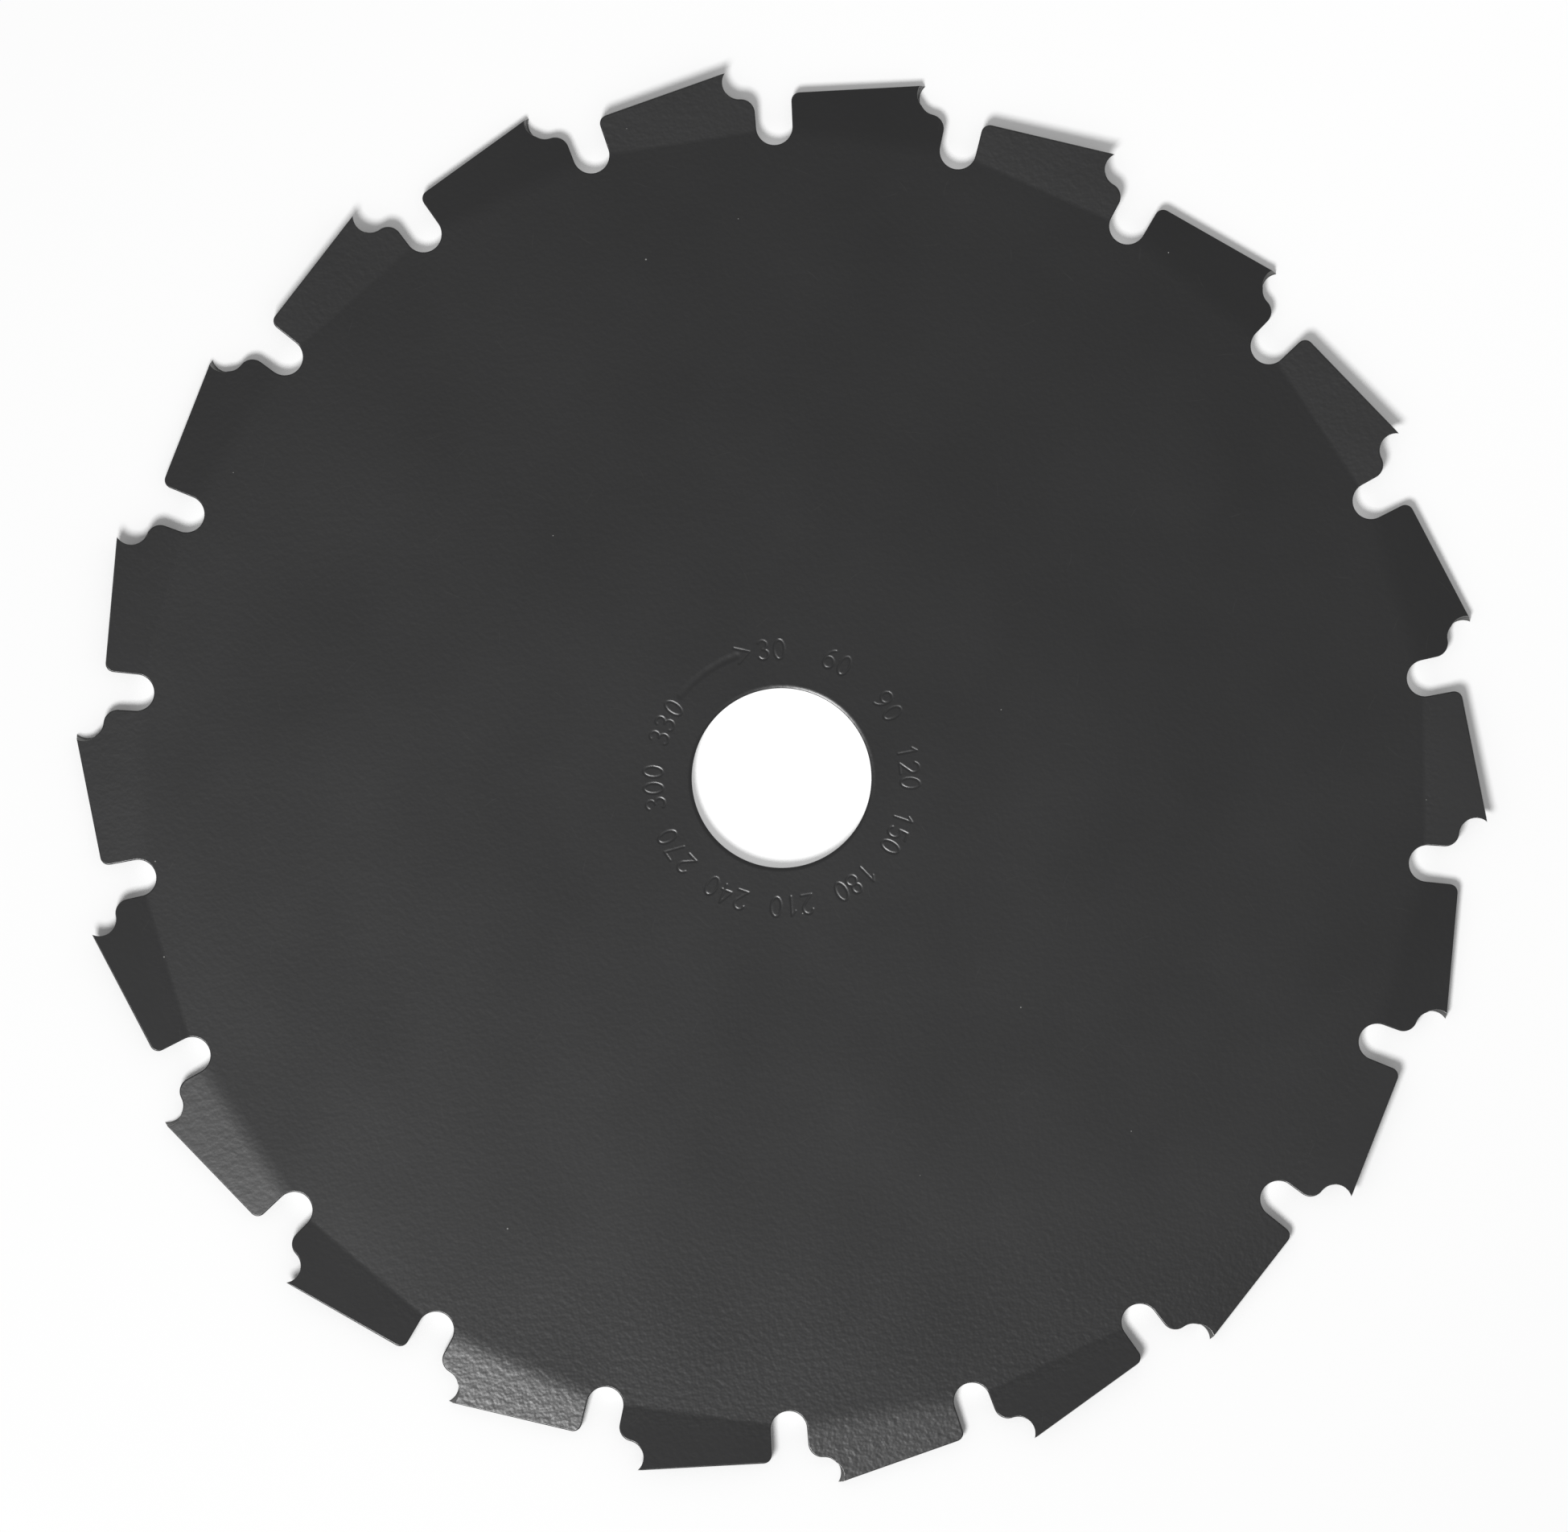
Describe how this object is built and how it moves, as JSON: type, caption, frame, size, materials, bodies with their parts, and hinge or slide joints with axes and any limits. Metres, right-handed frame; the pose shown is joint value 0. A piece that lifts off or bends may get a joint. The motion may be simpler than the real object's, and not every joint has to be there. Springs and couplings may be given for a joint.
{
  "type": "brush cutter blade",
  "caption": "Round steel saw blade for a brush cutter, with chisel teeth bent to alternate sides, round-bottomed gullets and a central arbor bore.",
  "frame": {"origin": "centre of the arbor bore, on the middle plane of the plate", "axes": "+Z along the bore, square to the plate; +Y through the tip of the first tooth, which is bent towards +Z; the teeth cut clockwise seen from +Z"},
  "size_m": [0.198, 0.2, 0.0028],
  "materials": {
    "blade": "dark grey powder coat, slightly glossy, with a fine hammered grain; bare filed steel on the hook of each tooth"
  },
  "bodies": {
    "root": {"blade": "blade"}
  },
  "joints": []
}
